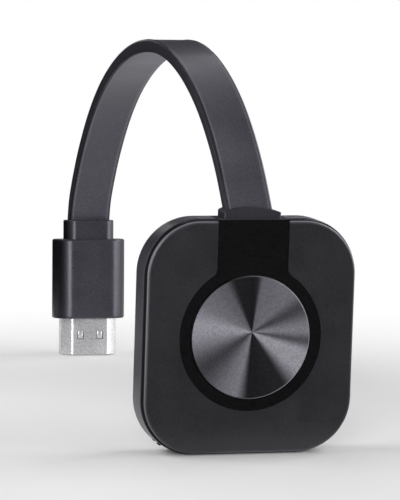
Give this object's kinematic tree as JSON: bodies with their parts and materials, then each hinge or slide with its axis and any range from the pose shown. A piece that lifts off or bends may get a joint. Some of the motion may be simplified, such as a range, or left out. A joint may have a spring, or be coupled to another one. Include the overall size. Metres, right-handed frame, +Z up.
{
  "type": "wireless hdmi adapter",
  "caption": "Rounded square screen-casting receiver with a keyhole inlay round a spun metal disc, on a short flat cable that arches back to its video plug.",
  "frame": {"origin": "under the middle of the housing, on the surface that its lower edge and the plug's tip stand on", "axes": "+Z up towards the cable collar, -Y out of the front face with the disc, +X to the right seen from the front"},
  "size_m": [0.047, 0.1443, 0.0832],
  "materials": {
    "housing_plastic": "fine matt grain, dark grey",
    "cover_plastic": "fine matt grain, near black",
    "gloss_black": "gloss",
    "disc_metal": "circular brushing",
    "adhesive_foam": "matt",
    "collar_rubber": "satin",
    "cable_jacket": "satin",
    "wire_copper": "tinned",
    "board_green": "solder mask",
    "screw_steel": "zinc",
    "chip_black": "moulded",
    "pad_grey": "matt",
    "sink_aluminium": "extruded",
    "board_blue": "solder mask",
    "shield_tin": "tin plate",
    "antenna_foil": "copper foil",
    "lead_black": "matt",
    "ferrite_grey": "pressed powder",
    "capacitor_tan": "ceramic",
    "port_steel": "nickel plate",
    "insulator_black": "moulded",
    "contact_gold": "gold flash",
    "led_white": "clear resin",
    "pipe_clear": "polished",
    "plunger_cream": "moulded",
    "button_black": "moulded",
    "plug_rubber": "satin",
    "plug_plastic": "satin, faintly pearly",
    "plug_steel": "bright nickel plate"
  },
  "bodies": {
    "housing": {"rear_housing": "housing_plastic", "front_cover": "cover_plastic", "gloss_inlay": "gloss_black", "spun_disc": "disc_metal", "disc_adhesive": "adhesive_foam", "cable_collar": "collar_rubber", "flat_cable": "cable_jacket", "cable_wires": "wire_copper", "main_board": "board_green", "board_screws": "screw_steel", "processor": "chip_black", "thermal_pad": "pad_grey", "heat_sink": "sink_aluminium", "memory_chip": "chip_black", "flash_chip": "chip_black", "wifi_board": "board_blue", "wifi_shield": "shield_tin", "antenna": "antenna_foil", "antenna_lead": "lead_black", "crystal": "shield_tin", "inductors": "ferrite_grey", "capacitors": "capacitor_tan", "usb_shell": "port_steel", "usb_tongue": "insulator_black", "usb_contacts": "contact_gold", "status_led": "led_white", "light_pipe": "pipe_clear", "switch_housing": "chip_black", "plug_neck": "plug_rubber", "plug_grip": "plug_plastic", "plug_shell": "plug_steel", "plug_insulator": "insulator_black", "plug_contacts": "contact_gold"},
    "reset_key": {"reset_button": "button_black", "switch_plunger": "plunger_cream"}
  },
  "joints": [
    {"name": "reset_press", "type": "slide", "parent": "housing", "child": "reset_key", "axis": [0.5446, 0, 0.8387], "range_m": [0, 0.00025], "stiffness_N_per_m": 4000, "springref_m": -0.0001}
  ]
}
